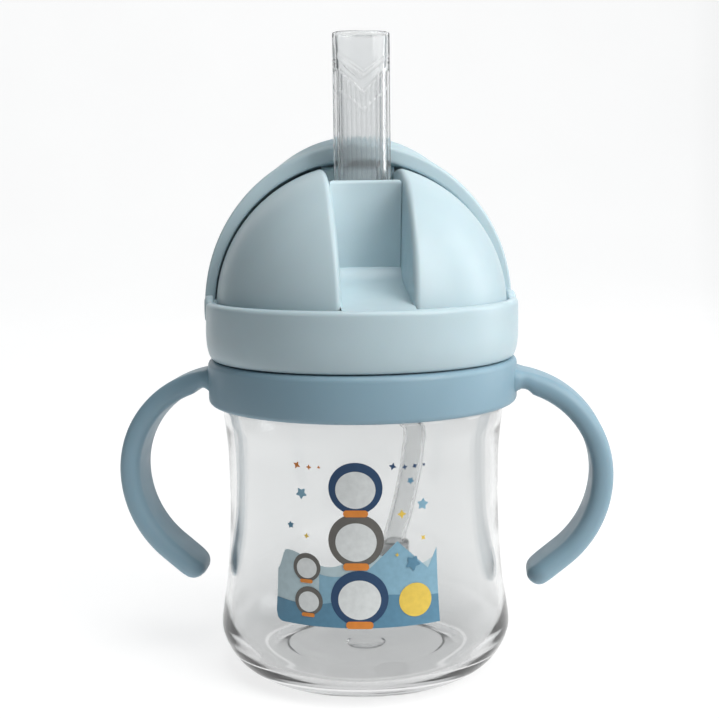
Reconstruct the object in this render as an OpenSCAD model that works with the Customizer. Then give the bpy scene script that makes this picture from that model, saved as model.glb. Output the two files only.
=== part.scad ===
// Straw-type sippy cup: clear bottle, loose two-handle ring, screw lid with a
// round slide cover, folding silicone nozzle and a weighted hose inside.
// Origin: centre of the foot on the table. +Z up, the drinking side faces -Y.

/* [Bottle] */
// Outer radius of the bottle at its waist
waist_r = 34.2; // [30:0.1:40]
// Outer radius of the bottle at its widest, low on the foot
foot_r = 37; // [33:0.1:42]
// Wall thickness of the bottle
bottle_wall = 1.9; // [1.2:0.1:3]
// Outer radius of the bottle neck
neck_r = 30.8; // [28:0.1:33]
// Height of the bottle mouth
mouth_z = 84; // [80:0.1:86]
// Pitch of the screw thread
thread_pitch = 5; // [3:0.5:6]

/* [Handle ring] */
// Outer radius of the loose collar
ring_r = 38.8; // [37:0.1:42]
// Lower edge of the collar
ring_z0 = 67.5; // [66:0.1:69]
// Upper edge of the collar
ring_z1 = 78.5; // [76:0.1:78.6]
// Thickness of a handle
handle_t = 5.4; // [4:0.1:8]
// Width of a handle
handle_w = 14; // [9:0.5:18]
// Angle at which the loose ring stands at rest, in degrees
ring_yaw = -12; // [-30:1:30]

/* [Lid] */
// Outer radius of the lid band
band_r = 39.1; // [38:0.1:42]
// Lower edge of the lid band
band_z0 = 78.8; // [78.8:0.1:80]
// Upper edge of the lid band
band_z1 = 93; // [90:0.1:93]
// Height of the cover's hinge line
pivot_z = 91; // [89:0.1:92]
// Half width of the dome along the hinge line
dome_a = 36.3; // [34:0.1:36.4]
// Radius of the dome across the hinge line
dome_b = 35.5; // [34:0.1:36]
// Width of the straw channel at the band
channel_w0 = 16; // [15.5:0.1:18]
// Width of the straw channel at the top of the dome
channel_w1 = 17.8; // [16:0.1:19]

/* [Slide cover] */
// Half width of the cover along the hinge line
cover_a = 39.3; // [39:0.1:40]
// Radius of the cover across the hinge line
cover_b = 40.8; // [40.5:0.1:42]
// Radius of the two round pivots
pivot_r = 2.4; // [2:0.05:3]
// Radius of the two round ears that carry the pivots
ear_r = 3.4; // [3:0.1:6]

/* [Straw] */
// Top of the nozzle when it stands up
straw_top = 157.3; // [150:0.1:165]
// Width of the nozzle
nozzle_w = 14.1; // [11:0.1:14.2]
// Depth of the nozzle
nozzle_d = 8.3; // [6:0.1:8.4]
// Outer diameter of the inner hose
hose_d = 5.6; // [4.5:0.1:6]
// Radius of the sinker ball on the hose
ball_r = 6.3; // [5.5:0.1:7]

/* [Hidden] */
$fn = 72;
nozzle_y = -5.5;
post_top = 122.1;
floor_z = 98.7;
post_y = -12.5;
bend_z = 134;
ball = [7.4, -1.6, 20.8];
// round points of the hose, from the spigot under the lid down to the sinker
hose_path = [[0, -5.5, 88.6], [0, -5.5, 86.5], [0, -5.5, 84.4], [2, -5.4, 79], [6.6, -5, 73],
  [10.6, -4.4, 67], [12.5, -3.8, 60.5], [12.2, -3.2, 53.5], [11.1, -2.6, 46.5],
  [9.7, -2.1, 39.8], [7.9, -1.7, 33.2], [7.4, -1.6, 29], [7.4, -1.6, 26.7]];
clear_c = [0.86, 0.93, 0.96, 0.35];
silicone_c = [0.93, 0.95, 0.96, 0.6];
pale_c = [0.7, 0.81, 0.86];
blue_c = [0.5, 0.63, 0.72];
steel_c = [0.7, 0.71, 0.72];

// half an ellipse as profile points, from one tip on the axis to the other
function half_ellipse(a, b, n = 36) =
  [for (i = [0:n]) [b * sin(180 * i / n), -a * cos(180 * i / n)]];

// solid of revolution about the cover's hinge line
module egg(a, b) {
  translate([0, 0, pivot_z]) rotate([0, 90, 0])
    rotate_extrude() polygon(half_ellipse(a, b));
}

// flat-sided oval lying in XY, centred on the nozzle
module oval(w, d) {
  translate([-(w - d) / 2, nozzle_y]) circle(d / 2);
  translate([(w - d) / 2, nozzle_y]) circle(d / 2);
  translate([-(w - d) / 2, nozzle_y - d / 2]) square([w - d, d]);
}

// screw thread of trapezoid section, from radius r0 (wide) to r1 (narrow)
module thread(r0, r1, z0, turns) {
  step = 10;
  n = floor(turns * 360 / step);
  pts = [for (i = [0:n]) let (a = i * step, z = z0 + thread_pitch * a / 360)
    for (c = [[r0, -1.1], [r1, -0.45], [r1, 0.45], [r0, 1.1]])
      [c[0] * cos(a), c[0] * sin(a), z + c[1]]];
  sides = [for (i = [0:n - 1]) for (k = [0:3])
    [4 * i + k, 4 * i + (k + 1) % 4, 4 * i + 4 + (k + 1) % 4, 4 * i + 4 + k]];
  tris = [for (f = sides) for (t = [[f[0], f[1], f[2]], [f[0], f[2], f[3]]]) t];
  ends = [[0, 2, 1], [0, 3, 2], [4 * n, 4 * n + 1, 4 * n + 2],
    [4 * n, 4 * n + 2, 4 * n + 3]];
  // seen from outside, a face's points go clockwise
  faces = r1 > r0 ? concat(tris, ends) : [for (f = concat(tris, ends)) [f[2], f[1], f[0]]];
  polyhedron(pts, faces, convexity = 6);
}

module bottle() {
  w = bottle_wall;
  outer = [[0, 1.5], [20, 1.5], [21.6, 0.9], [24, 0.3], [26.2, 0], [28, 0],
    [30.4, 0.55], [32.6, 1.7], [34.5, 3.5], [35.9, 5.8], [36.7, 8.2], [foot_r, 10.8],
    [foot_r - 0.15, 12.6], [36.4, 15.6], [35.9, 18.8], [35.4, 22], [35, 26.5],
    [34.65, 31], [34.35, 36], [waist_r, 42], [waist_r, 49], [34.35, 55],
    [34.75, 60], [35.25, 64], [35.5, 67], [35.3, 68.5], [34.4, 69.6], [32.8, 70.2],
    [31.4, 70.5], [neck_r, 71.2], [neck_r, mouth_z - 0.6], [neck_r - 0.6, mouth_z]];
  inner = [[neck_r - 1.7, mouth_z], [neck_r - 2.2, mouth_z - 0.5],
    [neck_r - 2.2, 69.6], [29.2, 68.6], [32.6, 67.2], [33.5, 65.6], [35.25 - w, 63],
    [34.75 - w, 59.5], [34.35 - w, 55], [waist_r - w, 49], [waist_r - w, 42],
    [34.35 - w, 36], [34.65 - w, 31], [35 - w, 26.5], [35.4 - w, 22],
    [35.9 - w, 18.8], [36.4 - w, 15.6], [36.6 - w, 11.5], [34, 8.5], [32.4, 6],
    [30, 4.3], [27.4, 3.4], [24, 3.2], [0, 3.4]];
  color(clear_c) {
    rotate_extrude() polygon(concat(outer, inner));
    thread(neck_r - 0.5, neck_r + 1.4, 76, 1.25);
    // trimmed moulding gate under the middle of the foot
    translate([0, 0, 0.7]) cylinder(h = 1.2, r1 = 4.6, r2 = 5.4);
  }
}

module handle_ring() {
  profile = [[35.9, ring_z0 + 0.2], [36.3, ring_z0], [37.1, ring_z0], [38, ring_z0 + 0.6],
    [38.55, ring_z0 + 1.6], [ring_r, ring_z0 + 3], [ring_r, 74.5], [38.6, 77],
    [38.3, ring_z1 - 0.4], [37.8, ring_z1], [36.4, ring_z1], [36.4, 72.8],
    [33, 72.8], [33, 70.7], [35.9, 70.7]];
  color(blue_c) rotate([0, 0, ring_yaw]) rotate_extrude() polygon(profile);
}

// section of a handle, standing at radius r from the arc's centre
module strap(r, t = handle_t) {
  e = t / 2;
  side = (handle_w - handle_t) / 2;
  translate([r, side]) circle(e, $fn = 32);
  translate([r, -side]) circle(e, $fn = 32);
  translate([r - e, -side]) square([t, 2 * side]);
}

// one open hook, from the collar out, down and back in to a round tip
module hook() {
  high_r = 23.9;
  low_r = 27.1;
  bend_x = 36;
  bend_z = 49;
  turn = 50;
  straight = 8;
  low_x = bend_x + high_r - low_r;
  // each piece towards the tip is a hair thinner, so that it starts inside the last
  straight_t = handle_t - 0.04;
  tip_t = handle_t - 0.08;
  tip_x = low_x + low_r * cos(turn);
  tip_z = bend_z - low_r * sin(turn);
  difference() {
    union() {
      translate([bend_x, 0, bend_z]) rotate([90, 0, 0])
        rotate_extrude(angle = 86, $fn = 96) strap(high_r);
      translate([low_x, 0, bend_z]) rotate([90, 0, 0])
        rotate_extrude(angle = turn, start = -turn, $fn = 96) strap(low_r);
      translate([tip_x, 0, tip_z]) rotate([0, 180 + turn, 0]) translate([0, 0, -0.5])
        linear_extrude(straight + 0.5) strap(0, straight_t);
      translate([tip_x - straight * sin(turn), 0, tip_z - straight * cos(turn)]) {
        side = (handle_w - handle_t) / 2;
        rotate([90, 0, 0]) cylinder(h = 2 * side, r = tip_t / 2, center = true, $fn = 32);
        for (s = [-side, side]) translate([0, s, 0]) sphere(tip_t / 2, $fn = 32);
      }
    }
    translate([0, 0, 60]) cylinder(h = 30, r = ring_r);
  }
}

module handle_right() {
  color(blue_c) rotate([0, 0, ring_yaw]) hook();
}

module handle_left() {
  color(blue_c) rotate([0, 0, ring_yaw + 180]) hook();
}

module gasket() {
  color(silicone_c) translate([0, 0, mouth_z])
    rotate_extrude() polygon([[28.2, 0], [31.4, 0], [31.4, 1], [31, 1.6], [28.6, 1.6],
      [28.2, 1.2]]);
}

module lid_band() {
  profile = [[32.7, 73.2], [35, 73.2], [35, band_z0], [37.4, band_z0],
    [38.1, band_z0 + 0.5], [38.6, 80.4], [38.95, 82.6], [band_r, 85.5],
    [band_r, band_z1 - 1.2], [38.75, band_z1 - 0.35], [38, band_z1], [37.2, band_z1],
    [36.8, band_z1 - 0.4], [36.8, 79.8], [35, 79.8], [35, 87.6], [27, 87.6],
    [27, 85.6], [32.7, 85.6]];
  color(pale_c) {
    difference() {
      rotate_extrude() polygon(profile);
      // room for the round ears of the slide cover
      for (s = [-1, 1]) translate([s * 38.4, 0, pivot_z]) rotate([0, 90, 0])
        cylinder(h = 4, r = ear_r + 0.5, center = true);
      // open back, where the slide cover hangs while the straw is up
      difference() {
        translate([-50, 1.9, 79.95]) cube([100, 60, 30]);
        translate([0, 0, 70]) cylinder(h = 50, r = 35.9);
      }
    }
    rotate([0, 0, 33]) thread(33.3, 31.3, 74.46, 1.1);
  }
}

// side view of the straw channel, grown by g all round
module channel_side(g) {
  polygon([[-37, 92.8 - g], [post_y - 1, floor_z - g], [5 + g, floor_z - g],
    [5 + g, 140], [-50, 140], [-50, 92.8 - g]]);
}

// straw channel that narrows a little downwards, grown by g all round
module channel(g = 0) {
  w0 = channel_w0 / 2 + g;
  w1 = channel_w1 / 2 + g;
  intersection() {
    rotate([90, 0, 90]) linear_extrude(60, center = true) channel_side(g);
    translate([0, 20, 0]) rotate([90, 0, 0]) linear_extrude(80)
      polygon([[-w0, 88], [w0, 88], [w0, 93], [w1, 126], [w1, 140], [-w1, 140],
        [-w1, 126], [-w0, 93]]);
  }
}

module dome() {
  t = 2.2;
  color(pale_c) difference() {
    union() {
      difference() {
        egg(dome_a, dome_b);
        difference() {
          egg(dome_a - t, dome_b - t);
          channel(1.8);
        }
      }
      // bosses that carry the cover's pivots
      for (s = [-1, 1]) translate([s * 34.2, 0, pivot_z]) rotate([0, 90, 0])
        cylinder(h = 2.4, r = 4.8, center = true);
    }
    channel();
    translate([-60, -60, 0]) cube([120, 120, 87.6]);
    for (s = [-1, 1]) translate([s * 35, 0, pivot_z]) rotate([0, 90, 0])
      cylinder(h = 6, r = pivot_r + 0.06, center = true);
    translate([0, 0, 90]) linear_extrude(20) oval(nozzle_w + 0.2, nozzle_d + 0.2);
    translate([0, 3, 90]) cylinder(h = 20, r = 1.25, $fn = 32);
  }
}

module straw_post() {
  g = -0.15;
  w0 = channel_w0 / 2 + g;
  w1 = channel_w1 / 2 + g;
  dip = 1.4;
  curve = 25.3;
  color(pale_c) difference() {
    translate([0, 4.8, 0]) rotate([90, 0, 0]) linear_extrude(4.8 - post_y)
      polygon([[-w0 - 0.31, floor_z], [w0 + 0.31, floor_z], [w1 - 0.1, post_top],
        [-w1 + 0.1, post_top]]);
    // hollow front face
    translate([0, post_y + dip - curve, 90]) cylinder(h = 40, r = curve, $fn = 144);
    translate([0, 0, 90]) linear_extrude(40) oval(nozzle_w + 0.2, nozzle_d + 0.2);
    // air way up from the vent valve
    translate([0, 2.4, floor_z - 1]) cylinder(h = 19, r = 1.9, $fn = 32);
    translate([0, 2.4, floor_z]) cylinder(h = 40, r = 0.7, $fn = 24);
  }
}

module slide_cover() {
  color(pale_c) {
    difference() {
      intersection() {
        egg(cover_a, cover_b);
        union() {
          // from the upright front rim to the lower back edge
          translate([0, 2.3, pivot_z]) translate([-60, 0, 0]) cube([120, 60, 60]);
          intersection() {
            translate([-60, 2.3, pivot_z - 30]) cube([120, 60, 31]);
            translate([0, 0, pivot_z]) rotate([-15, 0, 0]) translate([-60, 0, 0])
              cube([120, 60, 60]);
          }
          for (s = [-1, 1]) translate([s * 38, 0, pivot_z]) rotate([0, 90, 0])
            cylinder(h = 4, r = ear_r, center = true);
        }
      }
      egg(cover_a - 2.3, cover_b - 3.3);
    }
    // thumb ridge behind the front rim
    difference() {
      intersection() {
        egg(35.3, cover_b + 2.2);
        translate([0, 0, pivot_z]) rotate([-7, 0, 0]) translate([-24, 0, 30])
          cube([48, 60, 30]);
        translate([0, 0, pivot_z]) rotate([-20, 0, 0]) translate([-24, -60, 30])
          cube([48, 60, 30]);
      }
      egg(cover_a - 1, cover_b - 1);
    }
    for (s = [-1, 1]) translate([s * 35.7, 0, pivot_z]) rotate([0, 90, 0])
      cylinder(h = 4, r = pivot_r, center = true);
  }
}

module nozzle_base() {
  color(silicone_c) difference() {
    union() {
      translate([0, 0, 95]) linear_extrude(121 - 95) oval(nozzle_w, nozzle_d);
      translate([0, 0, 95]) linear_extrude(1.85) oval(18, 11.6);
    }
    translate([0, 0, 90]) linear_extrude(40) oval(nozzle_w - 2.8, nozzle_d - 2.8);
  }
}

module nozzle_bend() {
  color(silicone_c) translate([0, 0, 121]) linear_extrude(bend_z - 121) difference() {
    oval(nozzle_w, nozzle_d);
    oval(nozzle_w - 2.8, nozzle_d - 2.8);
  }
}

module nozzle_tip() {
  color(silicone_c) {
    translate([0, 0, bend_z]) linear_extrude(straw_top - 0.8 - bend_z) difference() {
      oval(nozzle_w, nozzle_d);
      oval(nozzle_w - 2.8, nozzle_d - 2.8);
    }
    translate([0, 0, straw_top - 0.8]) linear_extrude(0.8) difference() {
      oval(nozzle_w - 0.9, nozzle_d - 0.9);
      oval(nozzle_w - 2.8, nozzle_d - 2.8);
    }
  }
}

module connector() {
  color(pale_c) difference() {
    union() {
      translate([0, 0, 92.6]) linear_extrude(7.4) oval(nozzle_w - 2.9, nozzle_d - 2.9);
      translate([0, 0, 92.6]) linear_extrude(2.3) oval(17.4, 11);
      translate([0, nozzle_y, 86]) cylinder(h = 7.1, r = 1.7, $fn = 32);
      translate([0, nozzle_y, 89]) cylinder(h = 3.8, r = 3.4, $fn = 32);
    }
    translate([0, nozzle_y, 80]) cylinder(h = 30, r = 1.1, $fn = 32);
  }
}

module vent_valve() {
  color(silicone_c) difference() {
    union() {
      translate([0, 3, 95.2]) cylinder(h = 1.6, r = 2.1, $fn = 32);
      translate([0, 3, 96]) cylinder(h = 3.2, r = 1.2, $fn = 32);
    }
    translate([0, 3, 95.8]) cylinder(h = 6, r = 0.5, $fn = 24);
  }
}

// directions along the hose and across it, worked out from neighbouring points
function along(p, i) = let (a = p[max(i - 1, 0)], b = p[min(i + 1, len(p) - 1)])
  (b - a) / norm(b - a);
function across(t) = let (v = cross(t, [0, 1, 0])) v / norm(v);

// the hose as one swept tube of round section
module hose() {
  n = 10;
  wall = 0.85;
  // two points more between each pair, on a smooth curve through all of them
  p = hose_path;
  m = len(p) - 1;
  fine = concat([for (i = [0:m - 1]) for (u = [0, 0.5]) let (a = p[max(i - 1, 0)],
    b = p[i], c = p[i + 1], d = p[min(i + 2, m)]) 0.5 * (2 * b + (c - a) * u
      + (2 * a - 5 * b + 4 * c - d) * u * u + (3 * b - a - 3 * c + d) * u * u * u)],
    [p[m]]);
  k = len(fine);
  pts = [for (i = [0:k - 1]) let (t = along(fine, i), x = across(t), y = cross(t, x))
    for (r = [hose_d / 2, hose_d / 2 - wall]) for (j = [0:n - 1])
      fine[i] + r * (cos(360 * j / n) * x + sin(360 * j / n) * y)];
  w = 2 * n;
  skin = [for (i = [0:k - 2]) for (j = [0:n - 1]) let (a = i * w, q = (j + 1) % n)
    for (f = [[a + w + q, a + q, a + j], [a + w + j, a + w + q, a + j],
      [a + n + q, a + w + n + q, a + n + j], [a + w + n + q, a + w + n + j, a + n + j]])
      f];
  e = (k - 1) * w;
  ends = [for (j = [0:n - 1]) let (q = (j + 1) % n)
    for (f = [[q, n + q, j], [n + q, n + j, j], [e + n + q, e + q, e + j],
      [e + n + j, e + n + q, e + j]]) f];
  color(silicone_c) polyhedron(pts, concat(skin, ends), convexity = 8);
}

module sinker_cap() {
  color(pale_c) translate(ball) difference() {
    union() {
      intersection() {
        sphere(ball_r);
        translate([0, 0, 10.05]) cube(20, center = true);
      }
      translate([0, 0, 4]) cylinder(h = 5.6, r = 3.9, $fn = 48);
    }
    translate([0, 0, -1]) cylinder(h = 4, r = 4.7);
    cylinder(h = 20, r = 1.6, $fn = 32);
    translate([0, 0, 5.4]) cylinder(h = 20, r = hose_d / 2 + 0.1, $fn = 48);
  }
}

module sinker_base() {
  color(pale_c) translate(ball) difference() {
    intersection() {
      sphere(ball_r);
      translate([0, 0, -10.05]) cube(20, center = true);
    }
    translate([0, 0, -3]) cylinder(h = 4, r = 4.7);
    translate([0, 0, -10]) cylinder(h = 20, r = 1.6, $fn = 32);
  }
}

module sinker_core() {
  color(steel_c) translate(ball) difference() {
    translate([0, 0, -2.8]) cylinder(h = 5.6, r = 4.4);
    translate([0, 0, -5]) cylinder(h = 10, r = 1.7, $fn = 32);
  }
}

bottle();
handle_ring();
handle_left();
handle_right();
gasket();
lid_band();
dome();
straw_post();
slide_cover();
nozzle_base();
nozzle_bend();
nozzle_tip();
connector();
vent_valve();
hose();
sinker_cap();
sinker_base();
sinker_core();
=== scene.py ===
"""Looks of a straw-type sippy cup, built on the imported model. Sizes are millimetres unless said."""
import math

import bmesh
import bpy
from mathutils import Matrix, Vector


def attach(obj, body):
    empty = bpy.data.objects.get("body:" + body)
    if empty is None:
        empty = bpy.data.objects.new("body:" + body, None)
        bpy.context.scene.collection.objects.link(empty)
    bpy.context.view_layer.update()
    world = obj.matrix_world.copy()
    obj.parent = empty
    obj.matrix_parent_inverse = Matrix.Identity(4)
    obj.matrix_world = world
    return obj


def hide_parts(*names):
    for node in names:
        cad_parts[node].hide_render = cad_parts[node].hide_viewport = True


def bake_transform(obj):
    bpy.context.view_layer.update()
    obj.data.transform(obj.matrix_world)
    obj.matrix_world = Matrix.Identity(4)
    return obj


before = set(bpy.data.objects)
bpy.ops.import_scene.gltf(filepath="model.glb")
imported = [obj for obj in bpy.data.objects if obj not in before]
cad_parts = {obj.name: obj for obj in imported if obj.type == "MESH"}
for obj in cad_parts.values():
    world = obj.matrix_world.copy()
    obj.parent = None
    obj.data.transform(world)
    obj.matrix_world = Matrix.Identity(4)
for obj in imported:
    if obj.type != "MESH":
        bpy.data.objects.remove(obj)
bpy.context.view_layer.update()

MM = 0.001

# ---- driving sizes, the same as in the CAD ----
WALL = 1.9
WAIST_R = 34.2
FOOT_R = 37.0
NECK_R = 30.8
MOUTH_Z = 84.0
RING_R = 38.8
RING_Z = (67.5, 78.5)
RING_YAW = math.radians(-12)
HANDLE_T = 5.4
HANDLE_W = 14.0
BAND_R = 39.1
BAND_Z = (78.8, 93.0)
PIVOT_Z = 91.0
DOME = (36.3, 35.5)
CHANNEL_W = (16.0, 17.8)
FLOOR_Z = 98.7
POST_Y = -12.5
POST_TOP = 122.1
COVER = (39.3, 40.77)
COVER_INNER = (36.75, 36.5)
NOZZLE_Y = -5.5
NOZZLE = (14.1, 8.3)
NOZZLE_Z = (95.0, 157.29)
HOSE_D = 5.6
BALL = Vector((7.4, -1.6, 20.8))
BALL_R = 6.3
HOSE_PATH = [
    (0, -5.5, 88.6), (0, -5.5, 86.5), (0, -5.5, 84.4), (2, -5.4, 79), (6.6, -5, 73),
    (10.6, -4.4, 67), (12.5, -3.8, 60.5), (12.2, -3.2, 53.5), (11.1, -2.6, 46.5),
    (9.7, -2.1, 39.8), (7.9, -1.7, 33.2), (7.4, -1.6, 29), (7.4, -1.6, 26.7),
]


# ---- camera ----
def add_camera():
    """Looks a little down at the cup, from just left of the lid's middle."""
    yaw = math.radians(-6.2)
    distance = 299 * MM
    camera = bpy.data.objects.new("camera", bpy.data.cameras.new("camera"))
    bpy.context.collection.objects.link(camera)
    camera.data.lens = 59.58
    camera.data.sensor_width = 36
    camera.data.shift_x = -0.00403
    camera.data.clip_start = 0.01
    tilt = Matrix.Rotation(math.radians(90 - 7.36), 4, "X")
    roll = Matrix.Rotation(math.radians(-0.716), 4, "Z")
    place = Matrix.Translation((distance * math.sin(yaw), -distance * math.cos(yaw), 116 * MM))
    camera.matrix_world = place @ Matrix.Rotation(yaw, 4, "Z") @ tilt @ roll
    bpy.context.scene.camera = camera


# ---- outlines and nets ----
def smooth(points, per=6):
    """A smooth curve through the points, with per steps in each stretch."""
    last = len(points) - 1
    curve = []
    for i in range(last):
        a, b = points[max(i - 1, 0)], points[i]
        c, d = points[i + 1], points[min(i + 2, last)]
        for step in range(per):
            u = step / per
            curve.append(tuple(
                0.5 * (2 * q + (r - p) * u + (2 * p - 5 * q + 4 * r - s) * u * u
                       + (3 * q - p - 3 * r + s) * u**3)
                for p, q, r, s in zip(a, b, c, d)))
    return curve + [tuple(points[-1])]


def rounded(corners, steps=5):
    """A closed outline whose corners (x, y, radius) are rounded."""
    outline = []
    for i, (x, y, radius) in enumerate(corners):
        here = Vector((x, y))
        back = (Vector(corners[i - 1][:2]) - here).normalized()
        ahead = (Vector(corners[(i + 1) % len(corners)][:2]) - here).normalized()
        half = back.angle(ahead) / 2
        if radius == 0:
            outline.append((x, y))
            continue
        centre = here + (back + ahead).normalized() * radius / math.sin(half)
        first = here + back * radius / math.tan(half) - centre
        last = here + ahead * radius / math.tan(half) - centre
        turn = first.angle(last)
        for k in range(steps + 1):
            t = k / steps
            spoke = (first * math.sin((1 - t) * turn) + last * math.sin(t * turn)) / math.sin(turn)
            outline.append(tuple(centre + spoke))
    return outline


def grid(rows, loop_rows=False, loop_points=False):
    """Points and faces of a net whose rows all have the same number of points."""
    wide = len(rows[0])
    points = [p for row in rows for p in row]
    faces = []
    for i in range(len(rows) - (not loop_rows)):
        a, b = i * wide, (i + 1) % len(rows) * wide
        for j in range(wide - (not loop_points)):
            k = (j + 1) % wide
            faces.append((a + j, b + j, b + k, a + k))
    return points, faces


def lathe(outline, steps=160, closed=True):
    """A net of an outline of (radius, height) turned about Z."""
    turns = [2 * math.pi * k / steps for k in range(steps)]
    rows = [[(r * math.cos(a), r * math.sin(a), z) for r, z in outline] for a in turns]
    return grid(rows, loop_rows=True, loop_points=closed)


def moved(net, matrix):
    """The net after a move given as a matrix."""
    points, faces = net
    return [tuple(matrix @ Vector(p)) for p in points], faces


def ramp(low, high, value):
    """0 below low, 1 above high and smooth between."""
    t = min(max((value - low) / (high - low), 0), 1)
    return t * t * (3 - 2 * t)


def piece(name, nets, material, sharp=40):
    """A mesh object made of nets in millimetres."""
    shape = bmesh.new()
    for points, faces in nets:
        corners = [shape.verts.new(Vector(p) * MM) for p in points]
        for face in faces:
            shape.faces.new([corners[i] for i in face])
    bmesh.ops.remove_doubles(shape, verts=shape.verts, dist=0.002 * MM)
    bmesh.ops.recalc_face_normals(shape, faces=shape.faces)
    mesh = bpy.data.meshes.new(name)
    shape.to_mesh(mesh)
    shape.free()
    mesh.shade_smooth()
    mesh.set_sharp_from_angle(angle=math.radians(sharp))
    mesh.materials.append(material)
    made = bpy.data.objects.new(name, mesh)
    bpy.context.collection.objects.link(made)
    return made


def stands_for(made, body, nodes):
    """made rides on a body in place of CAD nodes, which are hidden."""
    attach(made, body)
    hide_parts(*nodes)
    return made


# ---- materials ----
class Looks:
    """A Principled material with a few helpers for its nodes."""

    def __init__(self, name):
        self.material = bpy.data.materials.new(name)
        self.material.use_nodes = True
        self.nodes = self.material.node_tree.nodes
        self.links = self.material.node_tree.links
        self.shader = self.nodes["Principled BSDF"]
        self.place = self.nodes.new("ShaderNodeTexCoord").outputs["Object"]

    def set(self, **values):
        for socket, value in values.items():
            self.shader.inputs[socket.replace("_", " ")].default_value = value
        return self

    def noise(self, scale, detail=3, stretch=(1, 1, 1)):
        """Soft random grey; scale is in features a metre."""
        mapping = self.nodes.new("ShaderNodeMapping")
        mapping.inputs["Scale"].default_value = stretch
        self.links.new(self.place, mapping.inputs["Vector"])
        noise = self.nodes.new("ShaderNodeTexNoise")
        noise.inputs["Scale"].default_value = scale
        noise.inputs["Detail"].default_value = detail
        self.links.new(mapping.outputs["Vector"], noise.inputs["Vector"])
        return noise.outputs["Fac"]

    def spread(self, source, low, high, start=0.3, end=0.7):
        """source turned into values from low to high."""
        node = self.nodes.new("ShaderNodeMapRange")
        node.inputs["From Min"].default_value = start
        node.inputs["From Max"].default_value = end
        node.inputs["To Min"].default_value = low
        node.inputs["To Max"].default_value = high
        self.links.new(source, node.inputs["Value"])
        return node.outputs["Result"]

    def blend(self, factor, first, second):
        """A colour from first to second as factor goes from 0 to 1."""
        node = self.nodes.new("ShaderNodeMix")
        node.data_type = "RGBA"
        for socket, value in ((node.inputs[6], first), (node.inputs[7], second)):
            if isinstance(value, tuple):
                socket.default_value = (*value, 1)
            else:
                self.links.new(value, socket)
        self.links.new(factor, node.inputs["Factor"])
        return node.outputs[2]

    def feed(self, socket, output):
        self.links.new(output, self.shader.inputs[socket])
        return self

    def along(self, axis):
        """The surface point's X, Y or Z in metres."""
        split = self.nodes.new("ShaderNodeSeparateXYZ")
        self.links.new(self.place, split.inputs[0])
        return split.outputs[axis]

    def maths(self, operation, *values):
        """A math node of outputs and numbers."""
        node = self.nodes.new("ShaderNodeMath")
        node.operation = operation
        for socket, value in zip(node.inputs, values):
            if isinstance(value, float):
                socket.default_value = value
            else:
                self.links.new(value, socket)
        return node.outputs[0]

    def bump(self, heights, depth):
        """Small relief; depth in millimetres."""
        node = self.nodes.new("ShaderNodeBump")
        node.inputs["Strength"].default_value = 1
        node.inputs["Distance"].default_value = depth * MM
        self.links.new(heights, node.inputs["Height"])
        self.links.new(node.outputs["Normal"], self.shader.inputs["Normal"])
        return self

    def edges(self, low=0.52, high=0.6):
        """1 on sharp outer edges, 0 elsewhere."""
        shape = self.nodes.new("ShaderNodeNewGeometry")
        return self.spread(shape.outputs["Pointiness"], 0, 1, low, high)


def shade(colour, share):
    """The colour made lighter (share above 1) or darker."""
    return tuple(min(c * share, 1) for c in colour)


def satin_plastic(name, colour, roughness=0.36):
    """Moulded polypropylene: satin, finely grained, with a painted highlight that makes sharp edges a
    touch lighter.
    """
    looks = Looks(name)
    clouds = looks.noise(45, 4)
    base = looks.blend(looks.spread(clouds, 0, 1), shade(colour, 0.965), shade(colour, 1.03))
    # painted highlight: sharp outer edges made a touch lighter
    edge_highlight = looks.blend(looks.edges(), base, shade(colour, 1.12))
    looks.feed("Base Color", edge_highlight)
    looks.feed("Roughness", looks.spread(looks.noise(260, 5), roughness - 0.05, roughness + 0.07))
    looks.bump(looks.noise(2600, 2), 0.012)
    looks.set(IOR=1.49, Subsurface_Weight=0.06, Subsurface_Scale=0.002)
    return looks.material


def clear_plastic():
    """Polished clear copolyester with the faint waves of blow moulding, greyer towards the bottom."""
    looks = Looks("clear_bottle")
    tint = looks.blend(looks.spread(looks.noise(30), 0, 1), (0.835, 0.843, 0.844), (0.86, 0.867, 0.868))
    # greyer towards the bottom, up to about 24 mm
    foot = looks.spread(looks.along("Z"), 0, 1, 0.002, 0.024)
    looks.feed("Base Color", looks.blend(foot, (0.72, 0.726, 0.728), tint))
    looks.feed("Roughness", looks.spread(looks.noise(500, 4), 0.03, 0.08))
    looks.bump(looks.noise(60, 2, (1, 1, 0.35)), 0.05)
    looks.set(Transmission_Weight=1.0, IOR=1.5)
    return looks.material


def silicone(name, tint, roughness=0.12, haze=0.04):
    """Soft clear silicone, hazy inside, with painted shade in its small hollows and a painted highlight
    on its small ridges.
    """
    looks = Looks(name)
    clouds = looks.blend(looks.spread(looks.noise(90), 0, 1), shade(tint, 0.97), tint)
    # painted shade: darker where the surface is hollow
    hollow_shade = looks.blend(looks.edges(0.47, 0.5), shade(tint, 0.84), clouds)
    # painted highlight: lighter on small ridges
    looks.feed("Base Color", looks.blend(looks.edges(0.505, 0.56), hollow_shade, (0.97, 0.975, 0.98)))
    looks.feed("Roughness", looks.spread(looks.noise(700, 3), roughness - 0.04, roughness + 0.06))
    looks.bump(looks.noise(900, 2), 0.01)
    looks.set(Transmission_Weight=1 - haze, IOR=1.41)
    return looks.material


def brushed_steel():
    """Turned stainless steel with fine rings round its axis."""
    looks = Looks("steel")
    rings = looks.noise(1500, 2, (0.05, 0.05, 1))
    grey = looks.blend(looks.spread(rings, 0, 1), (0.5, 0.51, 0.52), (0.66, 0.67, 0.68))
    looks.feed("Base Color", grey)
    looks.feed("Roughness", looks.spread(rings, 0.22, 0.38))
    looks.bump(rings, 0.01)
    looks.set(Metallic=1.0)
    return looks.material


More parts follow.
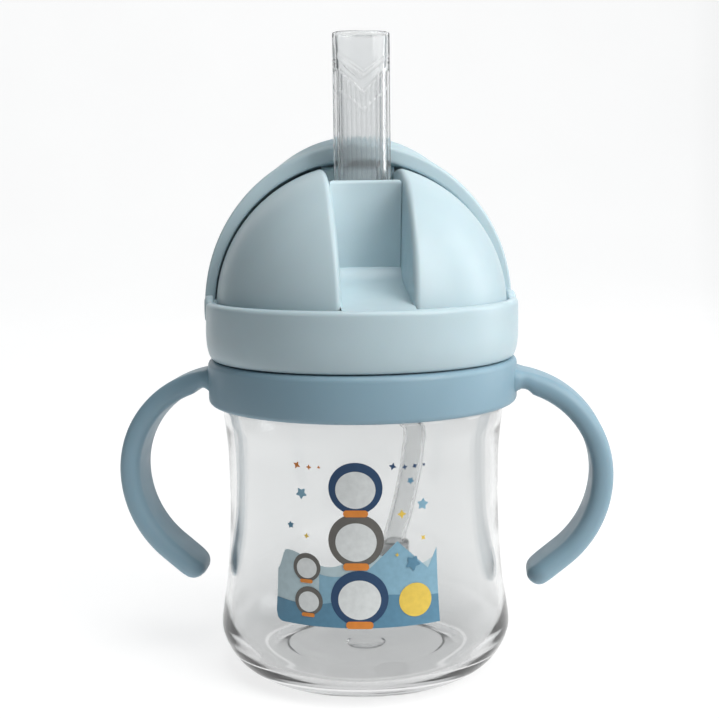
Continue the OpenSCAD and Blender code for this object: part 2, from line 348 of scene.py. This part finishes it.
def ink(name, colour):
    """Screen-print ink: flat colour with a faint mottle."""
    looks = Looks(name)
    looks.feed("Base Color", looks.blend(looks.spread(looks.noise(700, 4), 0, 1),
                                         shade(colour, 0.93), shade(colour, 1.05)))
    looks.feed("Roughness", looks.spread(looks.noise(400), 0.35, 0.5))
    looks.bump(looks.noise(2500, 2), 0.006)
    return looks.material


PALE_BLUE = (0.50, 0.625, 0.675)
GREY_BLUE = (0.25, 0.385, 0.47)


# ---- bottle ----
# (radius, height) up the outer face, and down the inner face to the middle of the floor
BOTTLE_OUTSIDE = [
    (27.4, 0), (29.8, 0.55), (32.1, 1.75), (34.1, 3.6), (35.6, 5.9), (36.6, 8.3), (FOOT_R, 10.8),
    (36.4, 15.6), (35.4, 22), (34.65, 31), (WAIST_R + 0.03, 40), (WAIST_R, 46), (34.35, 55),
    (34.75, 60), (35.25, 64), (35.5, 67)]
BOTTLE_INSIDE = [
    (35.45 - WALL, 66), (35.25 - WALL, 63), (34.75 - WALL, 59.5), (34.35 - WALL, 55),
    (WAIST_R - WALL, 46), (34.35 - WALL, 36), (34.65 - WALL, 31), (35.4 - WALL, 22),
    (36.4 - WALL, 15.6), (36.6 - WALL, 11.5), (34, 8.5), (32.4, 6), (30, 4.3), (27.4, 3.4),
    (24, 3.2), (12, 3.3), (0, 3.4)]


def bottle_radius(z):
    """Outer radius of the bottle's side at a height."""
    curve = smooth(BOTTLE_OUTSIDE, 8)
    for (r0, z0), (r1, z1) in zip(curve, curve[1:]):
        if z0 <= z <= z1:
            return r0 + (r1 - r0) * (z - z0) / (z1 - z0)
    return curve[-1][0]


def thread(r0, r1, start_z, turns, yaw=0):
    """A screw thread that grows out of its wall and dies back into it."""
    pitch = 5
    steps = 72
    count = int(turns * steps)
    rows = []
    for i in range(count + 1):
        a = 2 * math.pi * i / steps
        rise = min(ramp(0, 5, i), ramp(0, 5, count - i))
        top = r0 + (r1 - r0) * rise
        z = start_z + pitch * a / (2 * math.pi)
        section = [(r0, -1.1), (top, -0.45), (top, 0.45), (r0, 1.1)]
        rows.append([(r * math.cos(a + yaw), r * math.sin(a + yaw), z + h) for r, h in section])
    return grid(rows, loop_points=True)


def build_bottle(material):
    """The clear shell, from the gate mark under the foot to the mouth, and its thread."""
    gate = [(0, 0.75), (4.4, 0.75), (4.8, 0.9), (5.2, 1.45)]
    under = [(20.2, 1.5), (20.5, 1.3), (20.8, 0.95), (24, 0.3), (26.2, 0)]
    shoulder = [(35.4, 68.4), (35.0, 69.3), (34.0, 70.05), (32.4, 70.45), (31.3, 70.75), (NECK_R, 71.4)]
    mouth = [(NECK_R, 83.4), (NECK_R - 0.2, 83.8), (NECK_R - 0.6, MOUTH_Z), (29.1, MOUTH_Z),
             (28.7, 83.8), (28.6, 83.4), (28.6, 71), (28.8, 70.1), (29.5, 69.5), (31.4, 69.1),
             (32.7, 68.4), (33.45, 67.2)]
    outline = gate + under + smooth(BOTTLE_OUTSIDE) + shoulder + mouth + smooth(BOTTLE_INSIDE)
    outline = [(r, max(z, 0)) for r, z in outline]
    made = piece("bottle_shell", [lathe(outline, 192)], material, 30)
    stands_for(made, "bottle", ["bottle"])
    ridge = piece("bottle_thread", [thread(NECK_R - 0.3, NECK_R + 1.4, 76, 1.25)], material)
    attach(ridge, "bottle")


# ---- print on the bottle ----
PRINT_YAW = math.radians(-9.7)
PRINT_HALF = 19.4
PRINT_Z = (19.7, 59.0)


def on_bottle(u, z, layer):
    """A point of the print: u round the bottle from the print's middle, z up."""
    r = bottle_radius(z) + 0.04 + 0.035 * layer
    a = PRINT_YAW - math.pi / 2 + u / WAIST_R
    return (r * math.cos(a), r * math.sin(a), z)


def patch(outline, u, z, layer, rings=5):
    """A print shape that is star-shaped about (u, z); outline is relative to it."""
    rows = [[on_bottle(u + x * k / rings, z + y * k / rings, layer) for x, y in outline]
            for k in range(rings + 1)]
    return grid(rows, loop_points=True)


def oval(width, height, count=48):
    """An oval outline of two half sizes."""
    return [(width * math.cos(2 * math.pi * k / count), height * math.sin(2 * math.pi * k / count))
            for k in range(count)]


def star(radius, tips=5, waist=0.5, turn=0.0):
    """A star with soft tips."""
    corners = []
    for k in range(tips * 2):
        r = radius if k % 2 == 0 else radius * waist
        a = math.pi / 2 + turn + math.pi * k / tips
        corners.append((r * math.cos(a), r * math.sin(a), radius * (0.12 if k % 2 == 0 else 0.08)))
    return rounded(corners, 3)


def strip(top, layer, left=-PRINT_HALF, right=PRINT_HALF):
    """A filled band of the print, from its lower edge up to the height top(u)."""
    soft = 2.2
    rows = []
    for i in range(81):
        u = left + (right - left) * i / 80
        corner = soft * (1 - math.sqrt(1 - (1 - min((u + PRINT_HALF) / soft, 1)) ** 2))
        low = PRINT_Z[0] + corner
        high = max(top(u), low + 0.05)
        rows.append([on_bottle(u, low + (high - low) * k / 10, layer) for k in range(11)])
    return grid(rows)


def far_hill(u):
    """Rounded, rising from the print's left edge."""
    crest = 1.6 * math.cos((u + 16.5) / 3.2) * ramp(-PRINT_HALF, -17, u)
    return 35.2 + crest - 3.2 * (1 - ramp(-PRINT_HALF, -17.4, u))


def middle_hill(u):
    """Rolling on the left, two peaks on the right."""
    rolling = 32.6 + 1.2 * math.sin(u / 3.4)
    peak = 39.6 - 0.95 * abs(u - 9.6)
    edge = 37.2 - 1.9 * abs(u - PRINT_HALF)
    return max(rolling, peak, edge)


def near_hill(u):
    """Low and gently rolling."""
    return 26.1 + 0.9 * math.sin(u / 5 + 0.6) + 0.05 * u


def build_print():
    """Hills, play rings, a plain disc and stars, one thin mesh for each ink."""
    inks = {
        "navy": ink("ink_navy", (0.018, 0.055, 0.13)),
        "grey": ink("ink_grey", (0.125, 0.118, 0.108)),
        "white": ink("ink_white", (0.66, 0.68, 0.68)),
        "orange": ink("ink_orange", (0.66, 0.22, 0.035)),
        "yellow": ink("ink_yellow", (0.72, 0.51, 0.08)),
        "mist": ink("ink_mist", (0.42, 0.53, 0.57)),
        "sky": ink("ink_sky", (0.21, 0.38, 0.49)),
        "blue": ink("ink_blue", (0.09, 0.22, 0.325)),
    }
    shapes = {name: [] for name in inks}
    shapes["mist"].append(strip(far_hill, 0))
    shapes["sky"].append(strip(middle_hill, 1, left=-8.5))
    shapes["blue"].append(strip(near_hill, 2))
    # a pile of three play rings on short pegs, and a small pile beside it
    rings = [("navy", 0.1, 52.2, 6.2), ("grey", 0.1, 40.0, 6.4), ("navy", 0.8, 26.6, 6.5),
             ("grey", -11.6, 33.2, 3.4), ("grey", -11.0, 25.4, 3.4)]
    for colour, u, z, r in rings:
        shapes[colour].append(patch(oval(r, r * 0.98), u, z, 3))
        shapes["white"].append(patch(oval(r * 0.74, r * 0.7), u, z - r * 0.06, 4))
        bar = rounded([(x * r * 0.46, y * r * 0.13, r * 0.12)
                       for x, y in ((1, -1), (1, 1), (-1, 1), (-1, -1))])
        shapes["orange"].append(patch(bar, u, z - r * 0.95, 6, 3))
    shapes["yellow"].append(patch(oval(3.9, 3.9), 13.6, 25.6, 4))
    # ink, place, size and number of tips
    stars = [("sky", -12.7, 50.6, 1.6, 5), ("sky", 15.8, 47.8, 1.6, 5), ("blue", 12.8, 53.6, 0.95, 5),
             ("blue", -15.7, 42.8, 1.0, 5), ("blue", 13.2, 34.2, 2.1, 5), ("yellow", 10.7, 45.9, 1.3, 4),
             ("yellow", -11.6, 40.6, 0.85, 4), ("yellow", 15.9, 39.9, 0.85, 4),
             ("yellow", 9.5, 36.4, 0.6, 4), ("orange", -13.6, 57.2, 1.15, 4),
             ("orange", -10.6, 56.9, 0.8, 4), ("orange", -8.2, 57.0, 0.55, 4),
             ("navy", 8.6, 57.2, 1.1, 4), ("navy", 11.4, 56.9, 0.8, 4), ("navy", 13.8, 57.0, 0.8, 4),
             ("navy", 16.0, 57.1, 0.55, 4)]
    for colour, u, z, r, tips in stars:
        waist = 0.52 if tips == 5 else 0.38
        shapes[colour].append(patch(star(r, tips, waist, 0.15 * u), u, z, 6, 2))
    for name, nets in shapes.items():
        made = piece(f"print_{name}", nets, inks[name])
        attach(made, "bottle")


# ---- handle ring ----
def handle_stations():
    """Centre points (x, z) and outward directions along one hook, from the collar to the tip."""
    high_r, low_r, bend_x, bend_z, turn, straight = 23.9, 27.1, 36, 49, 50, 8
    low_x = bend_x + high_r - low_r
    stations = []
    for k in range(45):
        a = math.radians(88 - 88 * k / 44)
        stations.append((bend_x + high_r * math.cos(a), bend_z + high_r * math.sin(a), a))
    for k in range(1, 31):
        a = -math.radians(turn * k / 30)
        stations.append((low_x + low_r * math.cos(a), bend_z + low_r * math.sin(a), a))
    end_x, end_z, a = stations[-1]
    reach = straight + HANDLE_T / 2
    for k in range(1, 25):
        d = reach * math.sin(math.pi / 2 * k / 24)
        stations.append((end_x + d * math.sin(a), end_z - d * math.cos(a), a))
    return stations, (end_x, end_z), straight


def handle_net():
    """A flat strap with round corners, a little thinner just outside the collar."""
    stations, (end_x, end_z), straight = handle_stations()
    slack = 0.06
    e = HANDLE_T / 2 - slack
    tip_corner = 5.2
    rows = []
    along = 0
    before = stations[0]
    for x, z, a in stations:
        along += math.hypot(x - before[0], z - before[1])
        before = (x, z)
        run = math.hypot(x - end_x, z - end_z) if z < end_z else 0
        past = max(run - straight, 0)
        shrink = math.sqrt(max(1 - (past / e) ** 2, 0.0004))
        near_tip = min(max(run - straight - e + tip_corner, 0) / tip_corner, 1)
        narrow = tip_corner * (1 - math.sqrt(1 - near_tip**2))
        out = max(x - RING_R, 0)
        flare = 0.9 * max(1 - out / 1.8, 0) ** 2 if z > 49 else 0
        neck = 0.95 * (1 - ramp(4.6, 7.2, along))
        outer = e * shrink + 0.3 * flare
        inner = e * shrink - neck + 1.4 * flare
        half = HANDLE_W / 2 - slack - narrow + flare
        soft = min(2.45, 0.95 * min(outer + inner, 2 * half) / 2)
        section = rounded([(outer, half, soft), (outer, -half, soft),
                           (-inner, -half, soft), (-inner, half, soft)], 7)
        rows.append([(x + s * math.cos(a), y, z + s * math.sin(a)) for s, y in section])
    return grid(rows, loop_points=True)


def build_handles(material):
    """The collar and its two hooks."""
    low, high = RING_Z
    outline = rounded([
        (35.9, low, 0.5), (RING_R, low, 1.2), (RING_R, high, 1.5), (36.4, high, 0.3),
        (36.4, 72.8, 0.3), (33, 72.8, 0.3), (33, 70.7, 0.3), (35.9, 70.7, 0.3)])
    turned = Matrix.Rotation(RING_YAW, 4, "Z")
    ring = piece("handle_ring_skin", [lathe(outline, 192)], material)
    stands_for(ring, "ring", ["handle_ring"])
    for side, yaw in (("right", 0), ("left", math.pi)):
        net = moved(handle_net(), turned @ Matrix.Rotation(yaw, 4, "Z"))
        handle = piece(f"handle_{side}_skin", [net], material, 60)
        stands_for(handle, "ring", [f"handle_{side}"])


# ---- lid band ----
EAR_CUT = 3.9


def band_radius(z):
    """Outer radius of the band: drawn in at the foot, upright higher up."""
    t = min(max((85.5 - z) / 6.7, 0), 1)
    return BAND_R - 1.7 + 1.7 * (1 - t**2.2) ** (1 / 2.2)


def band_top(y):
    """Height of the band's edge: full in front, scooped for the cover's ears, low behind."""
    if y > 1.9:
        return 79.95
    if abs(y) < EAR_CUT:
        scoop = PIVOT_Z - math.sqrt(EAR_CUT**2 - y * y)
    else:
        scoop = PIVOT_Z + (abs(y) - EAR_CUT) * 8
    # the lower of the two heights, with a soft change between them
    k, base = 0.4, 70
    return base - k * math.log(math.exp((base - BAND_Z[1]) / k) + math.exp((base - scoop) / k))


def band_angles():
    """Directions round the band, close together near the ears."""
    angles = []
    a = -180.0
    while a < 180:
        angles.append(math.radians(a))
        near = min(abs(a), abs(abs(a) - 180))
        a += 0.3 if near < 12 else 2
    return angles


def build_band(material):
    """The band with its deck, the threaded skirt inside it and the thread."""
    rows = []
    for a in band_angles():
        top = band_top(BAND_R * math.sin(a))
        soft = min(1.2, (top - BAND_Z[0]) / 3)
        column = [(34.6, BAND_Z[0]), (BAND_R - 2.2, BAND_Z[0])]
        for k in range(19):
            z = BAND_Z[0] + (top - soft - BAND_Z[0]) * (k / 18) ** 1.6
            column.append((band_radius(z), z))
        edge = band_radius(top - soft)
        for k in range(1, 7):
            t = math.pi / 2 * k / 6
            column.append((edge - soft * (1 - math.cos(t)), top - soft + soft * math.sin(t)))
        deck = min(79.8, top - 0.4)
        column += [(37.15, top), (36.9, top - 0.1), (36.8, top - 0.35), (36.8, deck), (34.6, deck)]
        rows.append([(r * math.cos(a), r * math.sin(a), z) for r, z in column])
    skirt = rounded([(32.7, 73.2, 0.4), (35, 73.2, 0.4), (35, 87.55, 0), (27, 87.55, 0.3),
                     (27, 85.6, 0.3), (32.7, 85.6, 0.3)])
    nets = [grid(rows, loop_rows=True, loop_points=True), lathe(skirt),
            thread(33, 31.3, 74.46, 1.1, math.radians(33))]
    made = piece("lid_band_skin", nets, material, 32)
    stands_for(made, "lid", ["lid_band"])


# ---- dome ----
def on_egg(size, across, turn, lift=0.0):
    """A point on an egg turned about the hinge line; across runs from side to side."""
    x = size[0] * math.sin(across)
    r = size[1] * math.cos(across) + lift
    return (x, -r * math.cos(turn), PIVOT_Z + r * math.sin(turn))


def channel_half(z):
    """Half width of the straw channel at a height."""
    low, high = CHANNEL_W
    return (low + (high - low) * min(max((z - 93) / 33, 0), 1)) / 2


def channel_floor(turn):
    """Distance from the hinge line to the channel's floor or ramp in a direction."""
    slope = 5.9 / 23.5
    flat = (FLOOR_Z - PIVOT_Z) / max(math.sin(turn), 0.05)
    sloped = (FLOOR_Z - PIVOT_Z + 13.5 * slope) / (math.sin(turn) + slope * math.cos(turn))
    return min(flat, max(sloped, 0)) if math.cos(turn) > 0 else flat


DOME_EDGE = 1.3
DOME_FRONT = math.radians(-5.5)
DOME_SPLIT = math.radians(98.2)
DOME_BACK = math.radians(185.5)


def lobe_net(side):
    """One round cheek: the channel's wall, a soft edge and the outer face."""
    f = DOME_EDGE
    rows = []
    for i in range(105):
        turn = DOME_FRONT + (DOME_SPLIT - DOME_FRONT) * i / 104
        half = channel_half(PIVOT_Z + 35 * math.sin(turn))
        first = math.asin((half + f) / (DOME[0] - f))
        centre = ((DOME[0] - f) * math.sin(first), (DOME[1] - f) * math.cos(first))
        floor = min(channel_floor(turn) - 1, centre[1] - 0.5)
        column = []
        for k in range(7):
            r = floor + (centre[1] - floor) * k / 6
            column.append((channel_half(PIVOT_Z + r * math.sin(turn)), r))
        for k in range(1, 9):
            a = math.pi - (math.pi / 2 + first) * k / 8
            column.append((centre[0] + f * math.cos(a), centre[1] + f * math.sin(a)))
        for k in range(1, 49):
            a = first + (math.pi / 2 - first) * k / 48
            column.append((DOME[0] * math.sin(a), DOME[1] * math.cos(a)))
        rows.append([(side * x, -r * math.cos(turn), PIVOT_Z + r * math.sin(turn)) for x, r in column])
    return grid(rows)


def dome_back_net():
    """The unbroken back of the dome, from the channel's back wall down to the deck."""
    rows = []
    for i in range(61):
        turn = DOME_SPLIT + (DOME_BACK - DOME_SPLIT) * i / 60
        rows.append([on_egg(DOME, math.radians(-90 + 180 * k / 90), turn) for k in range(91)])
    return grid(rows)


def channel_net():
    """Ramp, floor and back wall of the channel, as one bent strip."""
    side = [(-37, 92.8), (-25, 95.81), (-17.6, 97.68), (-16.1, 98.15), (-14.9, 98.95), (-13.9, 100.0),
            (-13.1, 100.9), (-12.4, 101.3), (-10.6, 101.35), (-10.2, FLOOR_Z), (4.2, FLOOR_Z),
            (4.75, FLOOR_Z + 0.2), (5, FLOOR_Z + 0.8), (5, 110), (5, 124.5), (5.3, 125.4), (6.2, 125.95)]
    rows = []
    for y, z in side:
        half = channel_half(z) + 0.4
        rows.append([(half * k / 8, y, z) for k in range(-8, 9)])
    return grid(rows)


def build_dome(material):
    """Two cheeks, the back and the straw channel."""
    nets = [lobe_net(1), lobe_net(-1), dome_back_net(), channel_net()]
    made = piece("dome_skin", nets, material, 50)
    stands_for(made, "lid", ["dome"])


# ---- straw post ----
def build_post(material):
    """The upright block in the channel: hollow front face, soft top edge, oval bore."""
    dip, curve = 1.4, 25.3
    low, high = channel_half(FLOOR_Z) - 0.1, channel_half(POST_TOP) - 0.15
    bore = (NOZZLE[0] / 2 + 0.1, NOZZLE[1] / 2 + 0.1)
    # depth below the top and inset of each ring of points round the soft top edge
    soft_edge = [(0.95, 0), (0.65, 0.06), (0.36, 0.2), (0.12, 0.45), (0, 0.9)]

    def front(x):
        return POST_Y + dip - curve + math.sqrt(curve * curve - x * x)

    rows = []
    count = 120
    for k in range(count):
        # k runs round the block: across the front, back along a side, across the back, forward
        t = k / count * 4
        part, s = int(t), t - int(t)
        if part == 0:
            u, y_at = -1 + 2 * s, None
        elif part == 1:
            u, y_at = 1, s
        elif part == 2:
            u, y_at = 1 - 2 * s, 1
        else:
            u, y_at = -1, 1 - s
        column = []
        for z, inset in [(FLOOR_Z, 0), (110, 0)] + [(POST_TOP - d, i) for d, i in soft_edge]:
            half = low + (high - low) * (z - FLOOR_Z) / (POST_TOP - FLOOR_Z) - inset
            x = u * half
            face = front(x) + inset
            back = 4.8 - inset
            y = face if y_at is None else face + (back - face) * y_at
            column.append((x, y, z))
        x, y, z = column[-1]
        a = math.atan2((y - NOZZLE_Y) / bore[1], x / bore[0])
        flat = bore[0] - bore[1]
        bx = math.copysign(flat, math.cos(a)) * min(1, abs(math.cos(a)) * 2.2) + bore[1] * math.cos(a)
        by = NOZZLE_Y + bore[1] * math.sin(a)
        column += [(bx, by, POST_TOP), (bx, by, POST_TOP - 0.3), (bx, by, FLOOR_Z)]
        rows.append(column)
    made = piece("straw_post_skin", [grid(rows, loop_rows=True)], material, 50)
    stands_for(made, "lid", ["straw_post"])


# ---- slide cover ----
COVER_RIM_Y = 2.3
COVER_BACK = math.radians(195)
COVER_WALL = 3.0
EAR_R = 3.4


def ridge_height(across, turn):
    """How far the thumb ridge stands out of the cover."""
    x = COVER[0] * math.sin(across)
    if abs(x) > 23:
        return 0
    crest = 43 * math.sqrt(1 - (x / 35.3) ** 2) - COVER[1] * math.cos(across)
    degrees = math.degrees(turn)
    window = ramp(95.2, 98.6, degrees) * (1 - ramp(107, 113, degrees))
    return max(crest, 0) * window


def cover_loop(across):
    """The cover's closed section in one slice: front rim, outer face, back edge, inner face."""
    out_r = COVER[1] * math.cos(across)
    in_r = COVER_INNER[1] * math.cos(across)
    rim_out = math.pi / 2 + math.asin(COVER_RIM_Y / out_r)
    rim_in = math.pi / 2 + math.asin(COVER_RIM_Y / in_r)

    def spot(run, depth):
        """run is the distance from the rim, depth goes from 0 outside to COVER_WALL inside."""
        turn = rim_out + run / out_r
        outer = Vector(on_egg(COVER, across, turn, ridge_height(across, turn)))
        inner = Vector(on_egg(COVER_INNER, across, rim_in + run / in_r))
        return tuple(outer.lerp(inner, depth / COVER_WALL))

    whole_out = (COVER_BACK - rim_out) * out_r
    whole_in = (COVER_BACK - rim_in) * in_r
    # corner radii: outer edge of the rim, both edges at the back, inner edge of the rim
    soft = min(1.05, 0.42 * max(out_r - in_r + 0.001, 2.2))
    edge = 0.8
    sharp = 0.55
    corner = [math.pi / 2 * k / 6 for k in range(7)]
    points = []
    for t in reversed(corner):
        points.append(spot(soft * (1 - math.sin(t)), soft * (1 - math.cos(t)) * 3.0 / 3.3))
    for k in range(1, 90):
        points.append(spot(soft + (whole_out - 2 * soft) * k / 90, 0))
    for t in corner:
        points.append(spot(whole_out - edge * (1 - math.sin(t)), edge * (1 - math.cos(t))))
    for t in corner:
        points.append(spot(whole_in - edge * (1 - math.cos(t)), COVER_WALL - edge * (1 - math.sin(t))))
    for k in range(1, 40):
        points.append(spot(whole_in - edge - (whole_in - sharp - edge) * k / 40, COVER_WALL))
    for t in corner:
        points.append(spot(sharp * (1 - math.sin(t)), COVER_WALL - sharp * (1 - math.cos(t))))
    return points


def build_cover(material):
    """The shell between its two round ears, each with a pivot."""
    limit = math.acos(2.8 / COVER[1])
    rows = [cover_loop(limit * math.sin(math.pi / 2 * k / 70)) for k in range(-70, 71)]
    shell = grid(rows, loop_points=True)
    disc = []
    for k in range(15):
        r = (EAR_R - 0.9) * k / 14
        disc.append((r, COVER[0] * math.sqrt(1 - (r / COVER[1]) ** 2)))
    disc += [(EAR_R - 0.45, 38.98), (EAR_R - 0.15, 38.75), (EAR_R, 38.35), (EAR_R, 37.3),
             (EAR_R - 0.3, 36.95), (2.5, 36.95), (2.4, 36.8), (2.4, 34.2), (2.1, 33.8), (0, 33.7)]
    nets = [shell]
    for side in (-1, 1):
        to_side = Matrix.Translation((0, 0, PIVOT_Z)) @ Matrix.Rotation(side * math.pi / 2, 4, "Y")
        nets.append(moved(lathe(disc, 72, closed=False), to_side))
    made = piece("slide_cover_skin", nets, material, 50)
    stands_for(made, "cover", ["slide_cover"])


# ---- nozzle ----
def oval_loop(width, depth, count, inset=None):
    """Points round an oval centred on the nozzle; inset(share of the way round, x) moves each in."""
    points = []
    for k in range(count):
        a = 2 * math.pi * k / count
        x, y = width / 2 * math.cos(a), depth / 2 * math.sin(a)
        out = Vector((math.cos(a) / width, math.sin(a) / depth)).normalized()
        d = inset(k / count, x) if inset else 0
        points.append((x - d * out.x, y - d * out.y + NOZZLE_Y))
    return points


def nozzle_skin(z):
    """How far the nozzle's outer face is cut in, at a height: ribs, with pointed marks above."""
    ribs = 36
    # height of each mark's point, slope of its arms, how far it stands out, half width
    marks = [(147.7, 0.74, 0.3, 0.2), (146.8, 0.76, 0.38, 0.24), (142.8, 0.96, 0.32, 0.26),
             (138.6, 0.92, 0.32, 0.26)]

    def inset(share, x):
        low_arm = 142.8 + 0.96 * min(abs(x), 5.7)
        fade = 1 - ramp(-0.4, 0.8, z - low_arm)
        rib = 0.13 * (1 - math.cos(2 * math.pi * ribs * share)) * (0.05 + 0.95 * fade)
        front = 1 - ramp(4.6, 6.2, abs(x))
        depth = 0.08 + 0.26 * front * (1 - fade) + rib
        if abs(x) < 6.2:
            for point, slope, height, half in marks:
                away = (z - point - slope * abs(x)) / half
                depth -= height * math.exp(-away * away) * (1 - ramp(5.4, 6.2, abs(x)))
        return max(depth, 0)

    return inset


def build_nozzle(material):
    """Flange, ribbed outer face, thin lip and smooth bore."""
    low, high = NOZZLE_Z
    width, depth = NOZZLE
    count = 384
    wall = 1.4
    levels = [low + 2 + 0.9 * k for k in range(46)]
    z = levels[-1]
    while z < high - 0.8:
        z += 0.28
        levels.append(z)
    rows = []

    def flat_row(w, d, height):
        rows.append([(x, y, height) for x, y in oval_loop(w, d, count)])

    flat_row(width - 2 * wall, depth - 2 * wall, low)
    flat_row(17.6, 11.2, low)
    flat_row(18, 11.6, low + 0.2)
    flat_row(18, 11.6, low + 1.65)
    flat_row(17.6, 11.2, low + 1.85)
    flat_row(width - 0.3, depth - 0.3, low + 1.87)
    for z in levels:
        rows.append([(x, y, z) for x, y in oval_loop(width, depth, count, nozzle_skin(z))])
    top = levels[-1]
    for k in range(1, 7):
        t = math.pi / 2 * k / 6
        cut = 0.06 + 0.3 * (1 - math.cos(t))
        flat_row(width - 2 * cut, depth - 2 * cut, top + (high - top) * math.sin(t))
    flat_row(width - 1.7, depth - 1.7, high)
    bore_top = high - 0.3
    for k in range(60):
        lip = 0.5 * (1 - ramp(0, 8, k))
        height = bore_top - (bore_top - low) * k / 60
        flat_row(width - 2 * wall + lip, depth - 2 * wall + lip, height)
    made = piece("nozzle_skin", [grid(rows, loop_rows=True, loop_points=True)], material, 60)
    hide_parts("nozzle_base", "nozzle_bend", "nozzle_tip")
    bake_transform(made)


# ---- hose and sinker ----
def swept_ring(centre, direction, radius, sides=28):
    """A circle across a direction."""
    side = direction.cross(Vector((0, 1, 0))).normalized()
    up = side.cross(direction).normalized()
    return [tuple(centre + radius * (math.cos(a) * side + math.sin(a) * up))
            for a in (2 * math.pi * k / sides for k in range(sides))]


def build_hose(material, sinker):
    """The tube along its route."""
    wall = 0.85
    line = [Vector(p) for p in smooth(HOSE_PATH, 6)]
    outer, inner = [], []
    for i, here in enumerate(line):
        direction = (line[min(i + 1, len(line) - 1)] - line[max(i - 1, 0)]).normalized()
        outer.append(swept_ring(here, direction, HOSE_D / 2))
        inner.append(swept_ring(here, direction, HOSE_D / 2 - wall))
    net = grid(outer + inner[::-1], loop_rows=True, loop_points=True)
    made = piece("hose_skin", [net], material, 60)
    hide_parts("hose")
    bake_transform(made)


def build_sinker(material):
    """Cap with a neck, and a slotted base, round a steel core."""
    place = Matrix.Translation(BALL)
    cap = [(2.85, 9.6), (3.6, 9.6), (3.9, 9.3), (3.9, 6.3), (4.2, 5.4)]
    cap += [(BALL_R * math.cos(math.radians(a)), BALL_R * math.sin(math.radians(a)))
            for a in range(46, 0, -4)]
    cap += [(BALL_R, 0.1), (4.75, 0.1), (4.75, 2.9), (2.85, 3.6)]
    base = [(BALL_R, -0.05)]
    base += [(BALL_R * math.cos(math.radians(a)), BALL_R * math.sin(math.radians(a)))
             for a in range(-4, -90, -4)]
    base += [(0, -BALL_R), (0, -3.1), (4.6, -3.1), (4.75, -0.05)]
    made = []
    for name, outline in (("sinker_cap", cap), ("sinker_base", base)):
        half = piece(f"{name}_skin", [moved(lathe(outline, 64), place)], material)
        made.append(stands_for(half, "sinker", [name]))
    return made


def dress(node, material):
    """A new material on a CAD node that is shown as it is."""
    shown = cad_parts[node]
    shown.data.materials.clear()
    shown.data.materials.append(material)


# ---- stage ----
def stage_material():
    """Painted glow: a dark grey floor that glows near white behind the cup, less to the sides and in
    front.
    """
    looks = Looks("glowing_stage")
    mottle = looks.spread(looks.noise(8), 0, 1)
    looks.feed("Base Color", looks.blend(mottle, (0.3, 0.3, 0.3), (0.32, 0.32, 0.32)))
    # how far to the side a point lies for its distance from a spot in front of the cup
    reach = looks.maths("ADD", looks.along("Y"), 0.36)
    aside = looks.maths("ABSOLUTE", looks.maths("DIVIDE", looks.along("X"), reach))
    sides = looks.spread(aside, 0.77, 0.25, 0.36, 0.7)
    front = looks.spread(looks.along("Y"), 0.2, 1, -0.14, -0.05)
    # painted glow: the emission strength is what makes the stage light
    looks.feed("Emission Strength", looks.maths("MULTIPLY", sides, front))
    looks.set(Roughness=0.9, Emission_Color=(1, 1, 1, 1))
    return looks.material


def add_stage():
    """A floor that curves up into a backdrop, made pale by its painted glow."""
    side = [(-260, 0), (200, 0), (900, 0)]
    side += [(900 + 500 * math.sin(math.radians(a)), 500 - 500 * math.cos(math.radians(a)))
             for a in range(6, 91, 6)]
    side += [(1400, 1500)]
    rows = [[(x, y, z) for x in (-1200, -400, 0, 400, 1200)] for y, z in side]
    made = piece("floor_and_backdrop", [grid(rows)], stage_material(), 60)


def area_light(name, place, size, power, colour=(1, 1, 1)):
    """A soft square light aimed at the middle of the cup; place and size in metres."""
    data = bpy.data.lights.new(name, "AREA")
    data.shape = "RECTANGLE"
    data.size, data.size_y = size
    data.energy = power
    data.color = colour
    light = bpy.data.objects.new(name, data)
    bpy.context.collection.objects.link(light)
    light.location = place
    aim = Vector((0, 0, 0.08)) - Vector(place)
    light.rotation_euler = aim.to_track_quat("-Z", "Y").to_euler()


def add_light():
    area_light("key_right", (0.64, -0.62, 0.62), (0.6, 0.8), 7.5, (1, 0.985, 0.96))
    area_light("top", (0.08, -0.25, 0.95), (0.5, 0.5), 3.6, (1, 0.985, 0.965))
    area_light("rim_right", (0.8, 0.1, 0.3), (0.3, 0.8), 2)
    world = bpy.data.worlds.new("studio")
    bpy.context.scene.world = world
    world.use_nodes = True
    nodes, links = world.node_tree.nodes, world.node_tree.links
    split = nodes.new("ShaderNodeSeparateXYZ")
    links.new(nodes.new("ShaderNodeTexCoord").outputs["Generated"], split.inputs[0])
    # dim on the left, brighter on the right
    fade = nodes.new("ShaderNodeMapRange")
    fade.inputs["From Min"].default_value = -0.7
    fade.inputs["From Max"].default_value = 0.7
    fade.inputs["To Min"].default_value = 0.09
    fade.inputs["To Max"].default_value = 0.44
    links.new(split.outputs["X"], fade.inputs["Value"])
    links.new(fade.outputs["Result"], nodes["Background"].inputs["Strength"])
    nodes["Background"].inputs["Color"].default_value = (0.86, 0.95, 1, 1)
    bpy.context.scene.view_settings.view_transform = "Standard"


add_camera()
pale = satin_plastic("pale_plastic", PALE_BLUE)
blue = satin_plastic("blue_plastic", GREY_BLUE, 0.42)
white = silicone("white_plastic", (0.95, 0.955, 0.96), 0.3, 0.15)
soft_clear = silicone("clear_silicone", (0.955, 0.965, 0.97), 0.12, 0.09)
hose_clear = silicone("hose_silicone", (0.975, 0.98, 0.98), 0.12, 0.03)
clear = clear_plastic()
build_hose(hose_clear, build_sinker(white) + [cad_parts["sinker_core"]])
build_bottle(clear)
build_print()
build_handles(blue)
build_band(pale)
build_dome(pale)
build_post(pale)
build_cover(pale)
build_nozzle(soft_clear)
dress("gasket", soft_clear)
dress("connector", white)
dress("vent_valve", soft_clear)
dress("sinker_core", brushed_steel())
add_stage()
add_light()
